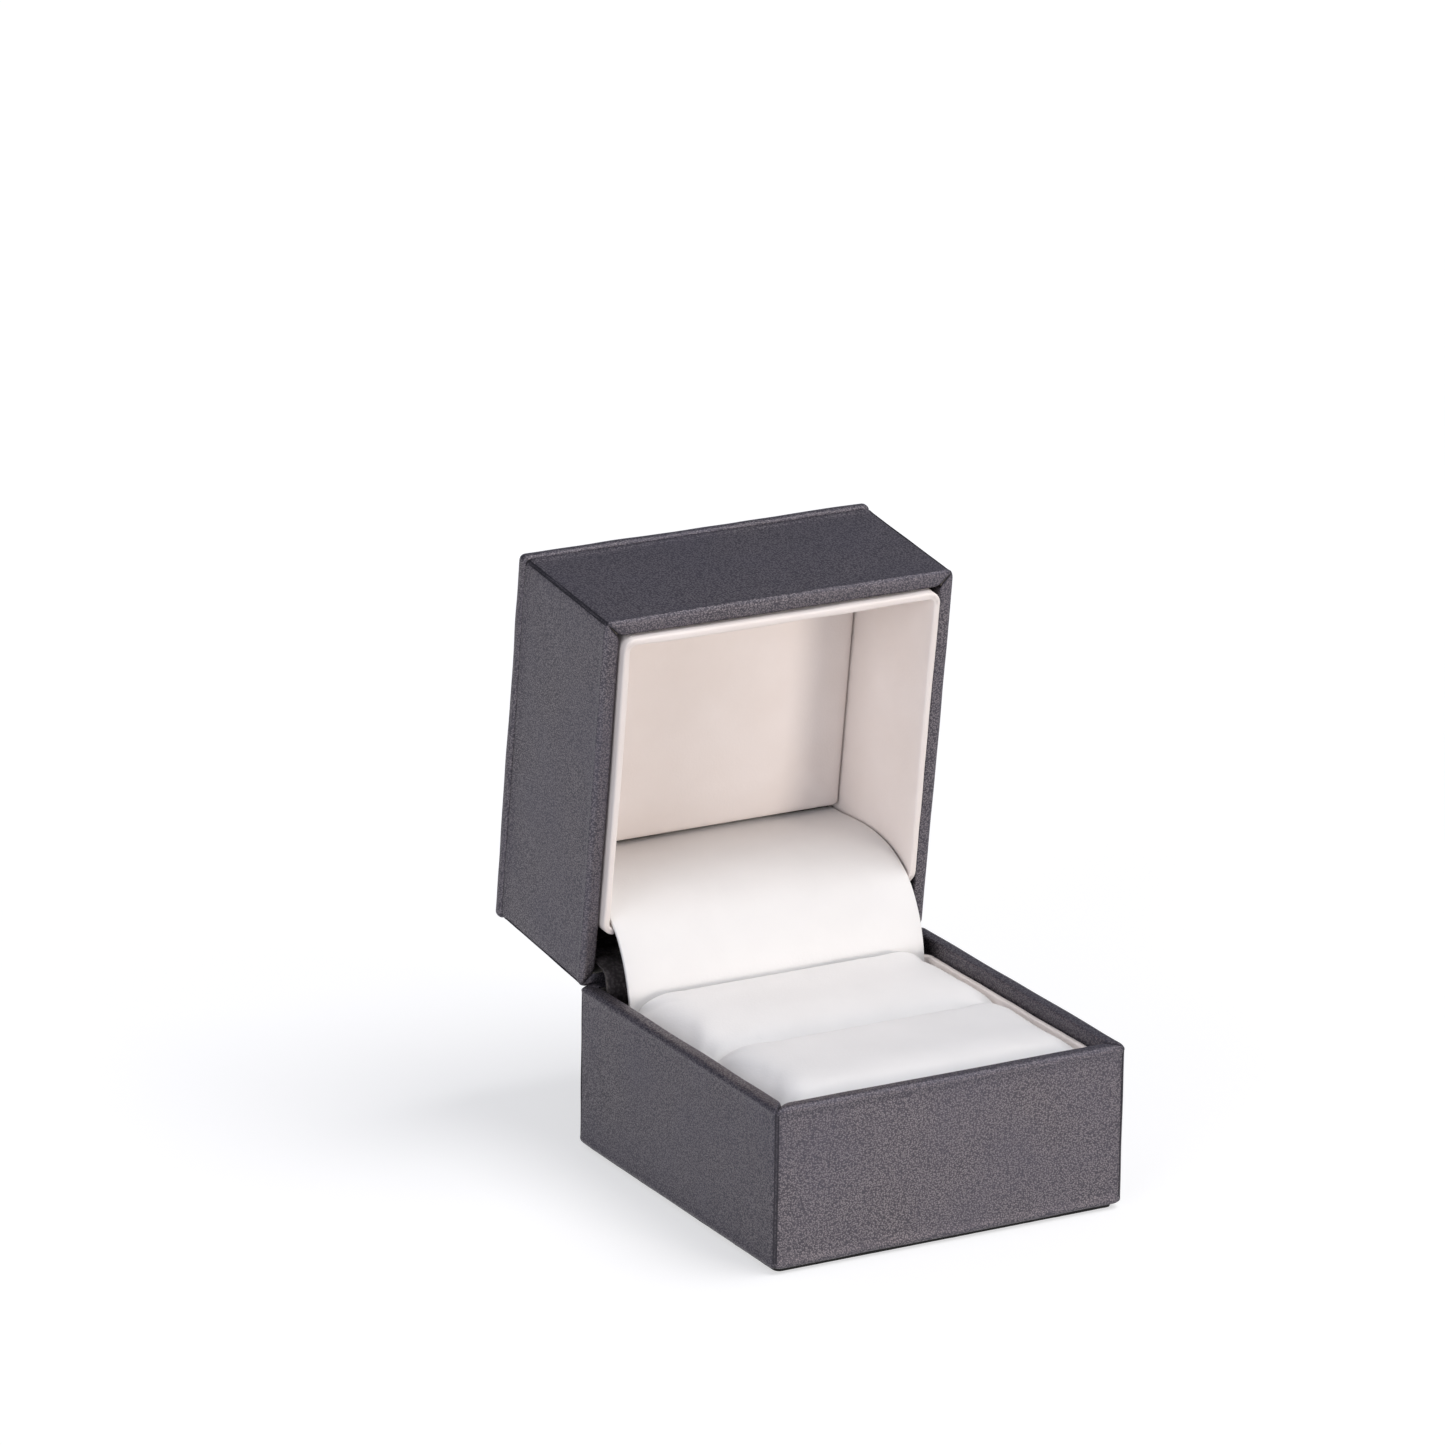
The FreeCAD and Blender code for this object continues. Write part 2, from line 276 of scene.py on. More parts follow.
# Pebble grain, as a roller presses it: domed cells that wander a little, with fine pores over them
pebble = {"wander": 0.6, "bend": 0.9, "blur": 0.35, "domeEdge": 0.72, "domeTop": 0.12, "poreHeight": 0.35}


def pebbleGrain(tree, cell, fine, stretch=(1, 1, 1)):
    p = pebble
    place = addNode(tree, "TexCoord").outputs["Object"]
    wander = addNode(tree, "TexNoise", {}, {"Scale": p["wander"] / cell, "Detail": 2.0}, {"Vector": place})
    bend = addNode(tree, "VectorMath", {"operation": "SCALE"}, {"Scale": p["bend"] * cell},
                   {0: wander.outputs["Color"]})
    moved = addNode(tree, "VectorMath", {"operation": "ADD"}, {}, {0: place, 1: bend.outputs[0]})
    drawn = addNode(tree, "Mapping", {}, {"Scale": stretch}, {"Vector": moved.outputs[0]})
    cells = addNode(tree, "TexVoronoi", {"feature": "SMOOTH_F1"},
                    {"Scale": 1 / cell, "Smoothness": p["blur"]}, {"Vector": drawn.outputs[0]})
    domes = addNode(tree, "MapRange", {"interpolation_type": "SMOOTHSTEP"},
                    {"From Min": p["domeEdge"], "From Max": p["domeTop"]},
                    {"Value": cells.outputs["Distance"]})
    pores = addNode(tree, "TexNoise", {}, {"Scale": 1 / fine, "Detail": 3.0}, {"Vector": place})
    height = addNode(tree, "Math", {"operation": "MULTIPLY_ADD"}, {1: p["poreHeight"]},
                     {0: pores.outputs["Fac"], 2: domes.outputs[0]})
    return place, domes.outputs[0], height.outputs[0]


leatherIor = 1.46        # the polyurethane skin of every leatherette


# Pearl-grey PU leatherette, embossed with a fine pebble grain: a satin sheen that lifts towards the light,
# dark between the pebbles
def charcoalLeatherette():
    # one colour here is painted shade for the creases along the seams
    look = {"grain": 0.27 * mm, "pores": 0.1 * mm, "depth": 0.035 * mm, "stretch": (1, 1, 1.25),
            "crest": "#827c80", "valley": "#4c494f", "cast": "#575562", "fold": "#353338",
            "cloud": 14 * mm, "cloudEdge": 0.3, "cloudHeart": 0.75, "castShare": 0.35,
            "pearl": 0.82, "valleyRough": 0.52, "crestRough": 0.43}
    material, tree, shader = newMaterial("charcoal pu leatherette", {
        "Metallic": look["pearl"], "IOR": leatherIor})
    place, domes, height = pebbleGrain(tree, look["grain"], look["pores"], look["stretch"])
    shade = addNode(tree, "Mix", {"data_type": "RGBA"}, {6: paint(look["valley"]), 7: paint(look["crest"])},
                    {0: domes})
    clouds = addNode(tree, "TexNoise", {}, {"Scale": 1 / look["cloud"], "Detail": 2.0}, {"Vector": place})
    drift = addNode(tree, "MapRange", {}, {
        "From Min": look["cloudEdge"], "From Max": look["cloudHeart"], "To Max": look["castShare"]},
                    {"Value": clouds.outputs["Fac"]})
    tint = addNode(tree, "Mix", {"data_type": "RGBA"}, {7: paint(look["cast"])},
                   {0: drift.outputs[0], 6: shade.outputs[2]})
    fold = addNode(tree, "Attribute", {"attribute_name": "fold"})         # painted shade in the creases along the seams
    creaseShaded = addNode(tree, "Mix", {"data_type": "RGBA"}, {7: paint(look["fold"])},
                     {0: fold.outputs["Fac"], 6: tint.outputs[2]})
    gloss = addNode(tree, "MapRange", {}, {"To Min": look["valleyRough"], "To Max": look["crestRough"]},
                    {"Value": domes})
    relief = addNode(tree, "Bump", {}, {"Strength": 1.0, "Distance": look["depth"]}, {"Height": height})
    plugIn(tree, shader, {"Base Color": creaseShaded.outputs[2], "Roughness": gloss.outputs[0],
                          "Normal": relief.outputs[0]})
    return material


# Black lining leatherette: the same cloth-backed PU, deeper in colour and a little shinier on its folds
def blackLeatherette():
    look = {"grain": 0.45 * mm, "pores": 0.15 * mm, "depth": 0.04 * mm, "relief": 0.6,
            "crest": "#595454", "valley": "#383434", "rough": 0.42}
    material, tree, shader = newMaterial("black pu leatherette", {
        "IOR": leatherIor, "Roughness": look["rough"]})
    place, domes, height = pebbleGrain(tree, look["grain"], look["pores"])
    shade = addNode(tree, "Mix", {"data_type": "RGBA"}, {6: paint(look["valley"]), 7: paint(look["crest"])},
                    {0: domes})
    relief = addNode(tree, "Bump", {}, {"Strength": look["relief"], "Distance": look["depth"]},
                     {"Height": height})
    plugIn(tree, shader, {"Base Color": shade.outputs[2], "Normal": relief.outputs[0]})
    return material


# Pale lining leatherette: smooth and soft, with a skin-like grain that only shows up close
def paleLeatherette(name, light, shadow, rough):
    look = {"grain": 0.4 * mm, "pores": 0.12 * mm, "depth": 0.012 * mm, "relief": 0.5, "cloud": 11 * mm,
            "cloudEdge": 0.35, "cloudHeart": 0.7, "roughStep": 0.06, "specular": 0.3, "sheen": 0.08}
    material, tree, shader = newMaterial(name, {
        "IOR": leatherIor, "Specular IOR Level": look["specular"], "Sheen Weight": look["sheen"]})
    place, domes, height = pebbleGrain(tree, look["grain"], look["pores"])
    clouds = addNode(tree, "TexNoise", {}, {"Scale": 1 / look["cloud"], "Detail": 3.0}, {"Vector": place})
    drift = addNode(tree, "MapRange", {}, {"From Min": look["cloudEdge"], "From Max": look["cloudHeart"]},
                    {"Value": clouds.outputs["Fac"]})
    shade = addNode(tree, "Mix", {"data_type": "RGBA"}, {6: paint(light), 7: paint(shadow)},
                    {0: drift.outputs[0]})
    gloss = addNode(tree, "MapRange", {}, {"To Min": rough + look["roughStep"], "To Max": rough},
                    {"Value": domes})
    relief = addNode(tree, "Bump", {}, {"Strength": look["relief"], "Distance": look["depth"]},
                     {"Height": height})
    plugIn(tree, shader, {"Base Color": shade.outputs[2], "Roughness": gloss.outputs[0],
                          "Normal": relief.outputs[0]})
    return material


# Small and hidden parts: fibres, cells or brush marks at their own size, rougher where they are lighter
def speckled(name, light, dark, grain, rough, depth, metallic=0.0, stretch=(1, 1, 1)):
    look = {"speckEdge": 0.3, "speckHeart": 0.7, "roughStep": 0.12, "relief": 0.6}
    material, tree, shader = newMaterial(name, {"Metallic": metallic})
    place = addNode(tree, "TexCoord").outputs["Object"]
    drawn = addNode(tree, "Mapping", {}, {"Scale": stretch}, {"Vector": place})
    specks = addNode(tree, "TexNoise", {}, {"Scale": 1 / grain, "Detail": 4.0}, {"Vector": drawn.outputs[0]})
    share = addNode(tree, "MapRange", {}, {"From Min": look["speckEdge"], "From Max": look["speckHeart"]},
                    {"Value": specks.outputs["Fac"]})
    shade = addNode(tree, "Mix", {"data_type": "RGBA"}, {6: paint(dark), 7: paint(light)},
                    {0: share.outputs[0]})
    gloss = addNode(tree, "MapRange", {}, {"To Min": rough, "To Max": rough + look["roughStep"]},
                    {"Value": share.outputs[0]})
    relief = addNode(tree, "Bump", {}, {"Strength": look["relief"], "Distance": depth},
                     {"Height": specks.outputs["Fac"]})
    plugIn(tree, shader, {"Base Color": shade.outputs[2], "Roughness": gloss.outputs[0],
                          "Normal": relief.outputs[0]})
    return material


finishes = {
    "charcoal_leatherette": charcoalLeatherette(),
    "black_leatherette": blackLeatherette(),
    "cream_leatherette": paleLeatherette("cream pu leatherette", "#f5ede8", "#f1e8e2", 0.5),
    "white_leatherette": paleLeatherette("white pu leatherette", "#efeeec", "#ebeae8", 0.46),
    # pressed paper pulp, dull and mottled
    "greyboard": speckled("greyboard", "#8d877e", "#6f6a62", 0.5 * mm, 0.8, 0.02 * mm),
    # cut cells, pale and pitted
    "foam": speckled("open-cell foam", "#eee8d6", "#d6cfba", 0.6 * mm, 0.85, 0.1 * mm),
    # short upright fibres that swallow the light
    "black_flock": speckled("black flock", "#1b1a1b", "#080808", 0.12 * mm, 0.85, 0.05 * mm),
    # rolled strip, bright with fine lines along it
    "spring_steel": speckled("spring steel", "#c6c5c2", "#a3a2a0", 0.2 * mm, 0.3, 0.004 * mm,
                             metallic=1.0, stretch=(0.05, 1, 1)),
    # twisted yarn, soft and slightly hairy
    "grey_thread": speckled("spun polyester thread", "#a3a1a6", "#77757b", 0.12 * mm, 0.6, 0.03 * mm),
}
slotOf = {part["node"]: part["material_slot"] for part in frame["record"]["subparts"]}
for nodeName, node in frame["nodes"].items():
    node.data.materials.clear()
    node.data.materials.append(finishes[slotOf[nodeName]])
print("finishes:", len(finishes), "materials on", len(frame["nodes"]), "solids")


# A piece without a body here is one that bends between the two
def settle(piece, body, slot, *nodes):
    piece.data.materials.clear()
    piece.data.materials.append(finishes[slot])
    if body:
        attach(piece, body)
    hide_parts(*nodes)
    print(piece.name, len(piece.data.polygons), "faces")


# Wall panels: a sheet of leatherette drawn up the face, over the rim and down the inside, mitred at both ends
wallPanel = {
    "rimRound": 0.7 * mm, "innerRound": 0.5 * mm, "heelRound": 0.5 * mm, "turnIn": 6.0 * mm,
    "heelTuck": 1.2 * mm, "backRim": 1.75 * mm, "skin": 0.28 * mm, "mitreGap": 0.03 * mm,
    # one width here is how far the painted crease shade reaches from a seam
    "edgeRoll": 0.44 * mm, "edgeWidth": 1.3 * mm, "foldWidth": 0.24 * mm, "crown": 0.12 * mm,
    "bead": 0.22 * mm, "beadWidth": 1.2 * mm, "ripple": 0.09 * mm, "rippleSize": 9 * mm,
    "softEdge": 0.1 * mm, "softAngle": 55, "columns": 48, "rows": 20, "rimTurns": 6, "foldTurns": 4,
    "edgeLoops": (0.04 * mm, 0.12 * mm, 0.25 * mm, 0.45 * mm, 0.75 * mm, 1.15 * mm),
    "rimLoops": (0.25 * mm, 0.6 * mm, 1.0 * mm, 1.5 * mm),
}


def wrapPanel(name, height, atBack):
    w = wallPanel
    rim, inner, heel = w["rimRound"], w["innerRound"], w["heelRound"]
    face = height - rim - heel
    sizes = {"x_subdivisions": w["columns"], "y_subdivisions": w["rows"], "size": 1}
    piece = startPiece(name, bpy.ops.mesh.primitive_grid_add, sizes, scale=(2 * half, face, 1),
                       turn=(rightAngle, 0, 0), place=(0, 0, -rim - face / 2))
    pick(piece, "EDGE", lambda a, b: min(a.z, b.z) > -rim - tiny)
    spin(rightAngle, rim, -rim, w["rimTurns"])            # over the rim
    if atBack:
        slide(0, w["backRim"] - rim, 0)                   # the hinge leaf takes the turn-in's place
    else:
        slide(0, wall - rim - inner, 0)
        spin(rightAngle, wall - inner, -inner, w["foldTurns"])
        slide(0, 0, -w["turnIn"])
    done()
    pick(piece, "EDGE", lambda a, b: max(a.z, b.z) < heel - height + tiny)
    spin(-rightAngle, heel, heel - height, w["foldTurns"])                # under the heel
    slide(0, w["heelTuck"], 0)
    for loop in (0, *w["edgeLoops"]):                     # the mitre, then loops beside it
        for side in (-1, 1):
            bpy.ops.mesh.select_all(action="SELECT")
            bpy.ops.mesh.bisect(plane_co=(side * (half - w["mitreGap"] - loop), 0, 0),
                                plane_no=(side, 1, 0), clear_outer=loop == 0)
    for loop in w["rimLoops"]:                            # and along the rim and the heel
        for line in (-rim - loop, heel - height + loop):
            bpy.ops.mesh.select_all(action="SELECT")
            bpy.ops.mesh.bisect(plane_co=(0, 0, line), plane_no=(0, 0, 1))
    done()
    faceOut(piece)
    puffPanel(piece, height)
    return piece


# The face swells a little, beads stand along the rim and the heel, and the edges roll in to the mitres
def puffPanel(piece, height):
    w = wallPanel
    normals = normalsOf(piece)
    # a mask for painted shade in the creases, darkest at the mitres
    fold = piece.data.attributes.new("fold", "FLOAT", "POINT")
    for v, n, mark in zip(piece.data.vertices, normals, fold.data):
        toSeam = half - w["mitreGap"] - v.co.y - abs(v.co.x)
        mark.value = math.exp(-(toSeam / w["foldWidth"]) ** 2)
        toEdge = min(1.0, max(0.0, 1 - toSeam / w["edgeWidth"]))
        dip = 1 - math.sqrt(1 - toEdge * toEdge)
        along, up = v.co.x / half, 1 + 2 * v.co.z / height
        swell = (1 - along ** 2) * (1 - up ** 2) if v.co.y < tiny else 0.0
        toRim = min(abs(v.co.z), abs(v.co.z + height))
        onFace = v.co.y < w["rimRound"]
        bead = max(0.0, 1 - abs(toRim - w["rimRound"]) / w["beadWidth"]) if onFace else 0.0
        v.co += n * (w["crown"] * swell + w["bead"] * bead * bead * (1 - dip) - w["edgeRoll"] * dip)
    piece.data.update()


def finishPanel(piece, seed):
    w = wallPanel
    ripple(piece, w["rippleSize"], w["ripple"], seed)
    finishWith(piece, "SOLIDIFY", thickness=w["skin"], offset=-1, use_even_offset=True)
    softenEdges(piece, w["softEdge"], w["softAngle"])
    smooth(piece, panelCrease)


# The back panels make way for the hinge barrel
barrelRoom = {"halfLength": 22.3 * mm, "base": 0.93 * mm, "lid": 1.13 * mm, "web": 0.56 * mm,
              "front": 26.2 * mm, "sides": 48}


def cutBarrel(piece, radius):
    r = barrelRoom
    length = 2 * r["halfLength"]
    depth = hingePoint.y - r["front"]
    barrel = startRod("barrel room", r["sides"], radius, length, turn=(0, rightAngle, 0), place=hingePoint)
    webs = startBox("web room", (length, depth, 2 * r["web"]), hingePoint - Vector((0, depth / 2, 0)))
    cutAway(piece, barrel)
    cutAway(piece, webs)


quarterTurns = {"front": 0, "right": 90, "back": 180, "left": 270}
toFront = Matrix.Translation((0, -half, 0))
upsideDown = Matrix.Rotation(math.pi, 4, "Y")
bodyPanels = {
    "base": {"height": baseRim - baseHeel, "stand": Matrix.Translation((0, 0, baseRim)) @ toFront, "seed": 0},
    "lid": {"height": lidTop - lidRim, "stand": Matrix.Translation((0, 0, lidRim)) @ toFront @ upsideDown,
            "seed": 7},
}


def buildPanels(body, height, stand, seed):
    plain = wrapPanel(body + " wall", height, False)
    for index, (side, turn) in enumerate(quarterTurns.items()):
        name = f"{body}_{side}_panel"
        panel = wrapPanel(name, height, True) if side == "back" else copyOf(plain, name)
        move(panel, Matrix.Rotation(math.radians(turn), 4, "Z") @ stand)
        finishPanel(panel, index + seed)
        if side == "back":
            cutBarrel(panel, barrelRoom[body])
            smooth(panel, panelCrease)
        if body == "lid":
            move(panel, lidOpen)
        settle(panel, body, "charcoal_leatherette", f"{body}_{side}_skin")
    bpy.data.objects.remove(plain)


for bodyName, panels in bodyPanels.items():
    buildPanels(bodyName, **panels)


# Stitched top: a thin padded panel, sunk along its border seam and pulled down between the stitches
topPad = {"crown": 0.8 * mm, "crownFall": 2.6, "cornerFall": 4, "cornerDrop": 0.35, "edgeRound": 0.75 * mm,
          "edgeSegments": 4, "cornerRound": 0.9 * mm, "cuts": 56,
          "seamIn": 4.6 * mm, "seamDip": 0.3 * mm, "seamWidth": 1.0 * mm,
          "pitch": 3.0 * mm, "pull": 0.35, "borderPuff": 0.15 * mm, "ripple": 0.12 * mm, "rippleSize": 7 * mm,
          "seed": 3.0}
topLow, topHigh = shutBox("top_panel_cover")
panelHalf = topHigh.x
seamLine = panelHalf - topPad["seamIn"]
panelEdge = topHigh.z - topLow.z - topPad["crown"]


def topRise(x, y):
    t = topPad
    side, along = max(abs(x), abs(y)), min(abs(x), abs(y))
    corner = max(0.0, 1 - (along / seamLine) ** t["cornerFall"] * t["cornerDrop"])
    inside = max(0.0, 1 - (side / seamLine) ** t["crownFall"]) * corner
    seam = math.exp(-((side - seamLine) / (t["seamWidth"] / 2)) ** 2)
    pulled = 1 + t["pull"] * math.cos(2 * math.pi * along / t["pitch"])
    border = max(0.0, 1 - ((side - (seamLine + panelHalf) / 2) / (t["seamIn"] / 2)) ** 2)
    return t["crown"] * inside - t["seamDip"] * seam * pulled + t["borderPuff"] * border


def buildTopPad():
    t = topPad
    top = topLow.z + panelEdge
    piece = startBox("top_pad", (2 * panelHalf, 2 * panelHalf, panelEdge), (0, 0, topLow.z + panelEdge / 2))
    roundSlab(piece, t["cuts"], t["cornerRound"], t["edgeRound"], t["edgeSegments"])
    finishWith(piece, "SUBSURF", levels=1, render_levels=1, subdivision_type="SIMPLE")
    for v in piece.data.vertices:
        if v.co.z > top - tiny:
            v.co.z += topRise(v.co.x, v.co.y)
    piece.data.update()
    ripple(piece, t["rippleSize"], t["ripple"], t["seed"])
    faceOut(piece)
    move(piece, lidOpen)
    smooth(piece, roundCrease)
    settle(piece, "lid", "charcoal_leatherette", "top_panel_cover", "top_panel_foam")


# Border stitches: one short thread, its ends pulled down into the cover, copied along the seam
stitch = {"radius": 0.2 * mm, "length": 2.2 * mm, "count": 16, "sides": 8, "cuts": 5, "sink": 0.1 * mm,
          "taper": 0.45, "dive": 1.6, "twist": 0.25, "twistTurn": 9, "slant": 0.05, "slantStep": 3.1}


def buildStitches():
    s = stitch
    single = startRod("stitch", s["sides"], s["radius"], s["length"], turn=(0, rightAngle, 0))
    divide(single, lengthwise, s["cuts"])
    for v in single.data.vertices:
        toEnd = abs(2 * v.co.x / s["length"]) ** 4
        v.co.y *= 1 - s["taper"] * toEnd
        v.co.z = v.co.z * (1 - s["taper"] * toEnd) - s["dive"] * s["radius"] * toEnd
        v.co.z += s["twist"] * s["radius"] * math.sin(v.co.x / s["length"] * s["twistTurn"])
    first = (1 - s["count"]) / 2 * topPad["pitch"]
    row = []
    for index in range(s["count"]):
        along = first + index * topPad["pitch"]
        spot = Vector((along, -seamLine, topLow.z + panelEdge + topRise(along, seamLine) + s["sink"]))
        for side in range(4):
            piece = copyOf(single, f"stitch {index} {side}")
            slant = Matrix.Rotation(s["slant"] * math.sin(s["slantStep"] * index + side), 4, "Z")
            move(piece, Matrix.Rotation(side * rightAngle, 4, "Z") @ Matrix.Translation(spot) @ slant)
            row.append(piece)
    bpy.data.objects.remove(single)
    activate(row[0])
    for piece in row:
        piece.select_set(True)
    bpy.ops.object.join()
    seam = newPiece("top_stitches")
    faceOut(seam)
    move(seam, lidOpen)
    smooth(seam, roundCrease)
    settle(seam, "lid", "grey_thread", "top_panel_stitching")


buildTopPad()
buildStitches()


# Linings: a card ring covered in cream leatherette, with a soft rounded lip
lining = {"corner": 2.0 * mm, "cornerSegments": 8, "columns": 15, "rows": 12,
          "lipRound": 0.32, "lipSegments": 4, "hingeWall": 1.5, "hingeFade": 1.5 * mm, "hingeReach": 6 * mm,
          "ripple": 0.1 * mm, "rippleSize": 6 * mm, "seed": 1.3}
lidRing = {"thick": 1.1 * mm, "bow": 0.15 * mm, "hingeLift": 1.6 * mm}
baseRing = {"thick": 1.0 * mm, "bow": 0.1 * mm, "hingeLift": 0.0}
lidLipProud, baseLipSunk = 0.25 * mm, 0.8 * mm


def buildLining(name, low, high, lip, thick, bow, hingeLift):
    g = lining
    size, middle = high - low, (low + high) / 2
    piece = startBox(name, size, middle)
    divide(piece, level, g["columns"])
    pick(piece, "FACE", lyingFlat)
    bpy.ops.mesh.delete(type="FACE")                     # open above and below
    done()
    corners = [(low.x, low.y), (low.x, high.y), (high.x, low.y), (high.x, high.y)]
    pick(piece, "EDGE", lambda a, b: upright(a, b) and
         any(abs(a.x - x) + abs(a.y - y) < tiny for x, y in corners))
    bpy.ops.mesh.bevel(offset=g["corner"], segments=g["cornerSegments"])
    done()
    divide(piece, upright, g["rows"])
    faceOut(piece)
    for v in piece.data.vertices:                        # the walls bow in a little between the corners
        u, t = (v.co.x - middle.x) / (size.x / 2), (v.co.y - middle.y) / (size.y / 2)
        if abs(u) > 1 - tiny / size.x:
            v.co.x -= math.copysign(bow * (1 - t * t), u)
        elif abs(t) > 1 - tiny / size.y:
            v.co.y -= math.copysign(bow * (1 - u * u), t)
    piece.data.update()
    finishWith(piece, "SOLIDIFY", thickness=thick, offset=-1, use_even_offset=True)
    pick(piece, "EDGE", lambda a, b: abs(a.z - lip) < tiny and abs(b.z - lip) < tiny)
    bpy.ops.mesh.bevel(offset=g["lipRound"] * thick, segments=g["lipSegments"])
    done()
    wallDepth = g["hingeWall"] * thick
    for v in piece.data.vertices:                        # beside the hinge the lip clears the shut cushion
        if v.co.y > high.y - wallDepth:
            inside = fade((high.x - wallDepth - abs(v.co.x)) / g["hingeFade"])
            v.co.z += hingeLift * inside * max(0.0, 1 - (v.co.z - low.z) / g["hingeReach"])
    piece.data.update()
    ripple(piece, g["rippleSize"], g["ripple"], g["seed"])
    faceOut(piece)
    smooth(piece, roundCrease)
    return piece


def buildLinings():
    low, high = shutBox("lid_liner")
    low -= Vector((0, 0, lidLipProud))
    lidLining = buildLining("lid_lining", low, high, low.z, **lidRing)
    move(lidLining, lidOpen)
    settle(lidLining, "lid", "cream_leatherette", "lid_liner")
    low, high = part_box("base_liner")
    high = high - Vector((0, 0, baseLipSunk))
    baseLining = buildLining("base_lining", low, high, high.z, **baseRing)
    settle(baseLining, "base", "cream_leatherette", "base_liner")


buildLinings()


# Padding: a block of foam in its cover, shaped first and then swelled as cloth by no more than its cap
puff = {"grow": 10, "voxel": 0.75 * mm, "pressure": 4.0, "frames": 20, "cuts": 3, "cornerSegments": 5,
        "smoothing": 0.5}


def block(name, low, high, corner):
    piece = startBox(name, high - low, (low + high) / 2)
    pick(piece, "EDGE", upright)
    bpy.ops.mesh.bevel(offset=corner, segments=puff["cornerSegments"])
    bpy.ops.mesh.select_all(action="SELECT")
    bpy.ops.mesh.subdivide(number_cuts=puff["cuts"])
    done()
    finishWith(piece, "REMESH", mode="VOXEL", voxel_size=puff["voxel"])
    return piece


def blowUp(piece, held, cap):
    p = puff
    move(piece, Matrix.Scale(p["grow"], 4))              # cloth settings suit a piece of this larger size
    start = [v.co.copy() for v in piece.data.vertices]
    group = piece.vertex_groups.new(name="held")
    group.add([v.index for v in piece.data.vertices if held(v.co / p["grow"])], 1.0, "REPLACE")
    activate(piece)
    cloth = piece.modifiers.new("cloth", "CLOTH")
    cloth.settings.vertex_group_mass = "held"
    cloth.settings.use_pressure = True
    cloth.settings.uniform_pressure_force = p["pressure"]
    cloth.settings.effector_weights.gravity = 0
    cloth.collision_settings.use_collision = False
    for step in range(1, p["frames"] + 1):
        bpy.context.scene.frame_set(step)
    bpy.ops.object.modifier_apply(modifier="cloth")
    for v, was in zip(piece.data.vertices, start):
        shift = v.co - was
        if shift.length > cap * p["grow"]:
            v.co = was + shift.normalized() * cap * p["grow"]
    piece.vertex_groups.clear()
    bpy.context.scene.frame_set(1)
    move(piece, Matrix.Scale(1 / p["grow"], 4))


def keepBetween(piece, low, high):                       # the walls round it hold it in
    for v in piece.data.vertices:
        v.co.x = min(max(v.co.x, low.x), high.x)
        v.co.y = min(max(v.co.y, low.y), high.y)


# Cushion rolls: sloped to their ends and sides like a hipped roof, with a pinch at each corner.
# A slope is its drop at the edge and how far in it reaches; a drop below nothing is a rise
rollPad = {"cap": 0.4 * mm, "held": 8.0 * mm, "corner": 0.7 * mm, "end": (2.2 * mm, 7.0 * mm), "hip": 3,
           "slopeDepth": 6 * mm, "pinch": 1.2 * mm, "pinchWidth": 0.8 * mm, "pinchLength": 6.0 * mm,
           "pinchDepth": 6 * mm, "pinchFade": 3 * mm, "smoothing": 3}
rolls = {"front_roll": {"ahead": (1.5 * mm, 8 * mm), "behind": (1.7 * mm, 3.5 * mm)},
         "rear_roll": {"ahead": (2.2 * mm, 11 * mm), "behind": (-0.6 * mm, 2.5 * mm)}}


def slope(distance, depth, width):
    return depth * max(0.0, 1 - distance / width) ** 2


def pinchAt(place, corner, inward):
    r = rollPad
    away = place - corner
    along = away.dot(inward)
    across = (away - inward * along).length
    return r["pinch"] * math.exp(-(across / r["pinchWidth"]) ** 2) * fade(1 - abs(along) / r["pinchLength"])


def buildRoll(name, ahead, behind):
    r = rollPad
    node, foam = name + "_cover", name + "_foam"
    low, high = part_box(node)
    start = Vector((high.x, high.y, high.z - r["cap"]))
    piece = block(name, low, start, r["corner"])
    middle, reach = (low + high) / 2, (high - low) / 2

    def drop(co):
        end = slope(reach.x - abs(co.x - middle.x), *r["end"])
        sides = slope(co.y - low.y, *ahead), slope(high.y - co.y, *behind)
        total = end ** r["hip"] + sum(max(0.0, side) ** r["hip"] for side in sides)
        return total ** (1 / r["hip"]) + min(0.0, *sides)

    for v in piece.data.vertices:
        v.co.z -= drop(v.co) * fade((v.co.z - start.z + r["slopeDepth"]) / r["slopeDepth"])
    piece.data.update()
    blowUp(piece, lambda co: co.z < high.z - r["held"], r["cap"])
    keepBetween(piece, low, high)
    corners = [(Vector((sx * reach.x, middle.y + sy * reach.y, 0)), Vector((-sx, -sy, 0)).normalized())
               for sx in (-1, 1) for sy in (-1, 1)]
    for v in piece.data.vertices:
        v.co.z = min(v.co.z, high.z)
        flatPlace = Vector((v.co.x, v.co.y, 0))
        sunk = sum(pinchAt(flatPlace, spot, inward) for spot, inward in corners)
        v.co.z -= sunk * fade((v.co.z - high.z + r["pinchDepth"]) / r["pinchFade"])
    piece.data.update()
    finishWith(piece, "SMOOTH", factor=puff["smoothing"], iterations=r["smoothing"])
    finishWith(piece, "SUBSURF", levels=1, render_levels=1)
    faceOut(piece)
    smooth(piece, softCrease)
    settle(piece, "base", "white_leatherette", node, foam)


for rollName, slopes in rolls.items():
    buildRoll(rollName, **slopes)


# Padding inside the lid's top: crowned towards the cushion, its edges sunk to the card
innerPad = {"crown": 0.8 * mm, "crownFall": 4, "crownDepth": 2 * mm, "cap": 0.3 * mm, "held": 1.6 * mm,
            "corner": 1.0 * mm, "smoothing": 2}


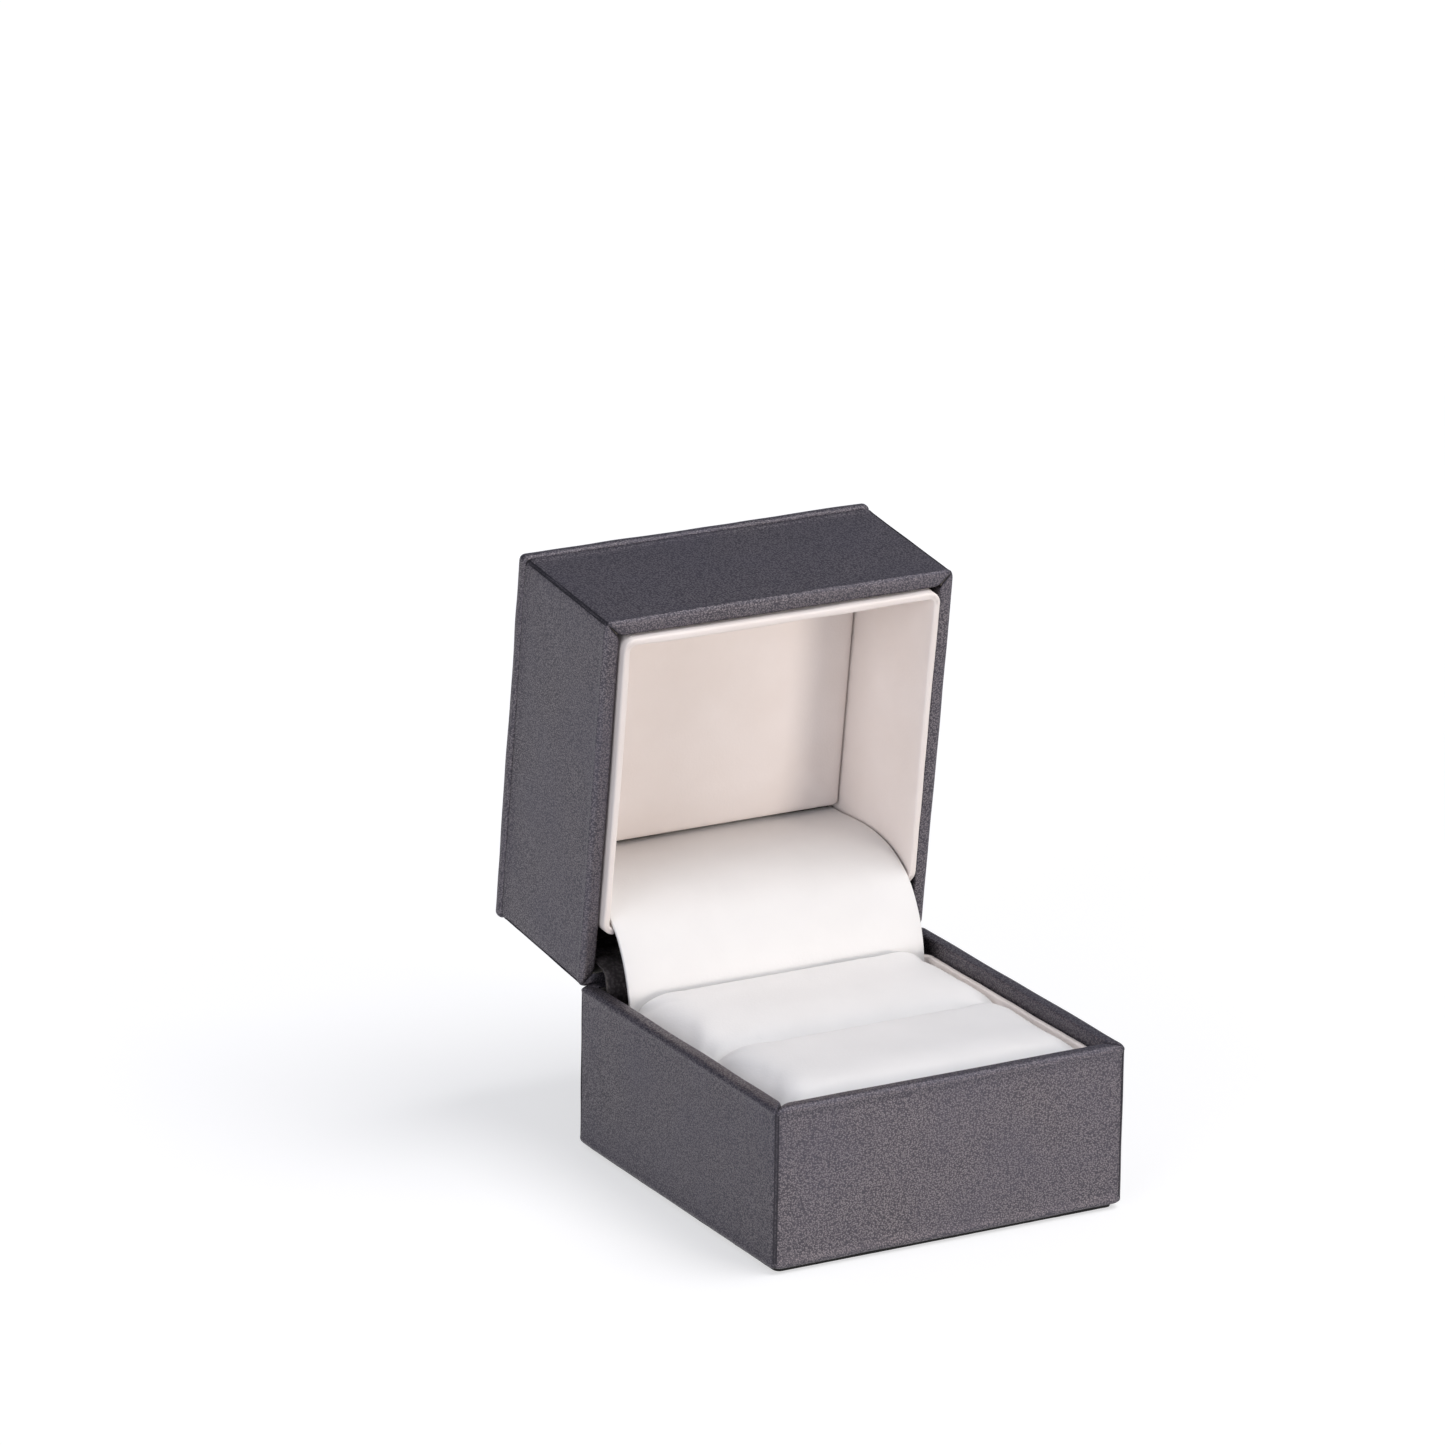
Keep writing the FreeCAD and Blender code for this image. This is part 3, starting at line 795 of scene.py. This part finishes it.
def buildInnerPad():
    p = innerPad
    low, high = shutBox("lid_pad_cover")
    piece = block("inner_lid_pad", Vector((low.x, low.y, low.z + p["cap"])), high, p["corner"])
    middle, reach = (low + high) / 2, (high - low) / 2
    for v in piece.data.vertices:
        u, t = abs(v.co.x - middle.x) / reach.x, abs(v.co.y - middle.y) / reach.y
        sunk = max(u ** p["crownFall"], t ** p["crownFall"])
        v.co.z += p["crown"] * sunk * fade((high.z - v.co.z) / p["crownDepth"])
    piece.data.update()
    blowUp(piece, lambda co: co.z > high.z - p["held"], p["cap"])
    keepBetween(piece, low, high)
    piece.data.update()
    finishWith(piece, "SMOOTH", factor=puff["smoothing"], iterations=p["smoothing"])
    faceOut(piece)
    move(piece, lidOpen)
    smooth(piece, softCrease)
    settle(piece, "lid", "cream_leatherette", "lid_pad_cover", "lid_pad_foam")


buildInnerPad()


# Flap: a white leatherette sheet that bows from behind the cushion up to the lid's padding
flap = {"halfWidth": 24.5 * mm, "thick": 0.5 * mm, "columns": 30, "wave": 0.25 * mm, "waveSize": 14 * mm,
        "seed": 5.0, "softEdge": 0.12 * mm, "softAngle": 60, "cutShare": 0.97,
        "bendFrom": (0, 21.1 * mm, 23.7 * mm), "bendTo": (0, 25.6 * mm, 33.4 * mm),
        # the points that its curve follows, back and up in mm
        "line": [(20.9, 15.8), (20.9, 20.5), (21.05, 23.6), (22.0, 27.1), (23.4, 30.2), (25.6, 33.45),
                 (29.6, 36.05), (34.0, 37.4), (38.5, 37.85), (42.5, 37.75), (45.7, 37.5), (48.6, 37.6)]}


def flapLine():
    curve = bpy.data.curves.new("flap line", "CURVE")
    curve.dimensions = "3D"
    curve.resolution_u = 6
    spline = curve.splines.new("NURBS")
    spline.points.add(len(flap["line"]) - 1)
    for point, (y, z) in zip(spline.points, flap["line"]):
        point.co = (-flap["halfWidth"], y * mm, z * mm, 1)
    spline.order_u = 3
    spline.use_endpoint_u = True
    drawn = bpy.data.objects.new("flap line", curve)
    bpy.context.scene.collection.objects.link(drawn)
    activate(drawn)
    bpy.ops.object.convert(target="MESH")


def buildFlap():
    f = flap
    flapLine()
    piece = newPiece("flap")
    pickAll(piece)
    for _ in range(f["columns"]):
        slide(2 * f["halfWidth"] / f["columns"], 0, 0)
    done()
    faceOut(piece)
    ripple(piece, f["waveSize"], f["wave"], f["seed"])
    finishWith(piece, "SOLIDIFY", thickness=f["thick"], offset=0)
    softenEdges(piece, f["softEdge"], f["softAngle"])
    faceOut(piece)
    smooth(piece, roundCrease)
    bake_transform(piece)
    settle(piece, None, "white_leatherette", "hinge_flap")


buildFlap()


# Straps across the hinge inside: two legs and an arc between them, bending between the base and the lid
strap = {"rows": 10, "turns": 12, "bendHalf": 0.5 * mm}


def bentStrap(name, halfWidth, radius, leg, columns):
    row = leg / strap["rows"]
    piece = startPiece(name, bpy.ops.mesh.primitive_plane_add, {"size": 1}, scale=(2 * halfWidth, row, 1),
                       turn=(rightAngle, 0, 0),
                       place=(0, hingePoint.y - radius, hingePoint.z - leg + row / 2))
    divide(piece, lengthwise, columns)
    top = max(v.co.z for v in piece.data.vertices)
    pick(piece, "EDGE", lambda a, b: min(a.z, b.z) > top - tiny)
    for _ in range(strap["rows"] - 1):
        slide(0, 0, row)
    spin(openAngle, hingePoint.y, hingePoint.z, strap["turns"])
    along = lidOpen.to_3x3() @ Vector((0, 0, row))
    for _ in range(strap["rows"]):
        slide(*along)
    done()
    faceOut(piece)
    return piece


def bendAtHinge(piece):
    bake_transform(piece)


# Gusset: black leatherette over the hinge, puckered most on the lid's side
gusset = {"halfWidth": 26.0 * mm, "radius": 2.8 * mm, "leg": 7.0 * mm, "thick": 0.3 * mm, "columns": 90,
          "wrinkle": 0.7 * mm, "baseShare": 0.35, "lidFade": 2 * mm,
          "foldSize": (3.5 * mm, 1.6 * mm, 1.8 * mm), "fineSize": 1.1 * mm, "fineShare": 0.35}


def buildGusset():
    g = gusset
    piece = bentStrap("gusset", g["halfWidth"], g["radius"], g["leg"], g["columns"])
    for v, n in zip(piece.data.vertices, normalsOf(piece)):
        shut = lidShut @ v.co
        onLid = fade((shut.z - hingePoint.z) / g["lidFade"])
        share = g["baseShare"] + (1 - g["baseShare"]) * onLid
        places = (v.co.x, shut.y, shut.z)
        folds = noise.noise(Vector([place / size for place, size in zip(places, g["foldSize"])]))
        fine = noise.noise(v.co / g["fineSize"])
        v.co += n * g["wrinkle"] * share * (folds + g["fineShare"] * fine)
    piece.data.update()
    finishWith(piece, "SOLIDIFY", thickness=g["thick"], offset=0)
    faceOut(piece)
    smooth(piece, softCrease)
    bendAtHinge(piece)
    settle(piece, None, "black_leatherette", "hinge_gusset")


buildGusset()


# Snap spring: a strip of spring steel under the gusset, riveted to both back boards
spring = {"halfWidth": 5.0 * mm, "radius": 2.075 * mm, "leg": 8.0 * mm, "thick": 0.25 * mm, "columns": 8,
          "hole": 0.62 * mm, "holeSides": 24, "holeDrop": 5.5 * mm, "punch": 2 * mm,
          "softEdge": 0.05 * mm, "softAngle": 60}


def buildSpring():
    s = spring
    piece = bentStrap("spring", s["halfWidth"], s["radius"], s["leg"], s["columns"])
    finishWith(piece, "SOLIDIFY", thickness=s["thick"], offset=0)
    for rise, stand in ((-s["holeDrop"], Matrix.Identity(4)), (s["holeDrop"], lidOpen)):
        punch = startRod("punch", s["holeSides"], s["hole"], s["punch"], turn=(rightAngle, 0, 0),
                         place=hingePoint + Vector((0, -s["radius"], rise)))
        move(punch, stand)
        cutAway(piece, punch)
    softenEdges(piece, s["softEdge"], s["softAngle"])
    faceOut(piece)
    smooth(piece, panelCrease)
    bendAtHinge(piece)
    settle(piece, None, "spring_steel", "snap_spring")


buildSpring()


# Foot: a flocked pad with soft, slightly uneven edges
foot = {"cuts": 47, "cornerRound": 1.0 * mm, "edgeRound": 0.2 * mm, "edgeSegments": 2,
        "uneven": 0.12 * mm, "unevenSize": 2.5 * mm}


def buildFoot():
    f = foot
    low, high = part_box("foot_pad")
    piece = startBox("foot", high - low, (low + high) / 2)
    roundSlab(piece, f["cuts"], f["cornerRound"], f["edgeRound"], f["edgeSegments"])
    for v in piece.data.vertices:
        push = f["uneven"] * noise.noise(v.co / f["unevenSize"])
        v.co.x += math.copysign(push, v.co.x)
        v.co.y += math.copysign(push, v.co.y)
    piece.data.update()
    faceOut(piece)
    smooth(piece, roundCrease)
    settle(piece, "base", "black_flock", "foot_pad")


buildFoot()


# Stage: a pale floor that keeps the box's shadow, shown white to the camera, to metal and to glass
stage = {"floor": 30.0, "floorColour": "#bdbdbd", "floorRough": 0.9, "lift": 0.59,
         "sky": "#eaedff", "skyStrength": 0.34}


def whiteToCamera(tree):
    path = addNode(tree, "LightPath")
    seen = addNode(tree, "Math", {"operation": "MAXIMUM"}, {},
                   {0: path.outputs["Is Camera Ray"], 1: path.outputs["Is Glossy Ray"]})
    return addNode(tree, "Math", {"operation": "MAXIMUM"}, {},
                   {0: seen.outputs[0], 1: path.outputs["Is Transmission Ray"]}).outputs[0]


def buildStage():
    floor = startPiece("floor", bpy.ops.mesh.primitive_plane_add, {"size": stage["floor"]})
    material, tree, shader = newMaterial("white table", {
        "Base Color": paint(stage["floorColour"]), "Roughness": stage["floorRough"]})
    glow = addNode(tree, "Emission", {}, {"Strength": stage["lift"]})
    lit = addNode(tree, "AddShader", {}, {}, {0: shader.outputs[0], 1: glow.outputs[0]})
    shown = addNode(tree, "MixShader", {}, {},
                    {0: whiteToCamera(tree), 1: shader.outputs[0], 2: lit.outputs[0]})
    tree.links.new(shown.outputs[0], tree.nodes["Material Output"].inputs["Surface"])
    floor.data.materials.append(material)
    world = bpy.data.worlds.new("studio")
    world.use_nodes = True
    bpy.context.scene.world = world
    sky = world.node_tree.nodes["Background"]             # a dim, even light from all round
    sky.inputs["Color"].default_value = paint(stage["sky"])
    sky.inputs["Strength"].default_value = stage["skyStrength"]


# Each lamp's light is the brightness it gives to white paper that faces it; its spread is in degrees
lamps = {
    "key": {"towards": (0.4, -0.91, 0.1), "spread": 16, "light": 0.39, "colour": "#fff5ec"},
    "fill": {"towards": (-0.84, -0.5, 0.18), "spread": 30, "light": 0.3, "colour": "#fafaff"},
    "top": {"towards": (0.36, -0.22, 0.9), "spread": 40, "light": 0.52, "colour": "#fffefd"},
}


def buildLamps():
    for name, lamp in lamps.items():
        light = bpy.data.lights.new(name, "SUN")
        light.angle, light.energy = math.radians(lamp["spread"]), math.pi * lamp["light"]
        light.color = paint(lamp["colour"])[:3]
        holder = bpy.data.objects.new(name, light)
        holder.location = lamp["towards"]
        holder.rotation_euler = Vector(lamp["towards"]).to_track_quat("Z", "Y").to_euler()
        bpy.context.scene.collection.objects.link(holder)


# The photograph's view, from a fit of the box's corners: metres, degrees, and a lens and sensor in mm
cameraView = {"place": (-0.59617, -1.0078, 0.45342), "yaw": -29.677, "pitch": 18.208, "roll": 0.888,
              "lens": 217.5, "sensor": 36}


def buildCamera():
    c = cameraView
    lens = bpy.data.cameras.new("camera")
    lens.lens, lens.sensor_width = c["lens"], c["sensor"]
    camera = bpy.data.objects.new("camera", lens)
    yaw, pitch, roll = (math.radians(c[key]) for key in ("yaw", "pitch", "roll"))
    turn = Matrix.Rotation(yaw, 4, "Z") @ Matrix.Rotation(rightAngle - pitch, 4, "X")
    camera.matrix_world = Matrix.Translation(c["place"]) @ turn @ Matrix.Rotation(roll, 4, "Z")
    bpy.context.scene.collection.objects.link(camera)
    bpy.context.scene.camera = camera


buildStage()
buildLamps()
buildCamera()
bpy.context.scene.view_settings.view_transform = "Standard"
print("stage: floor, world,", len(lamps), "lamps and camera")
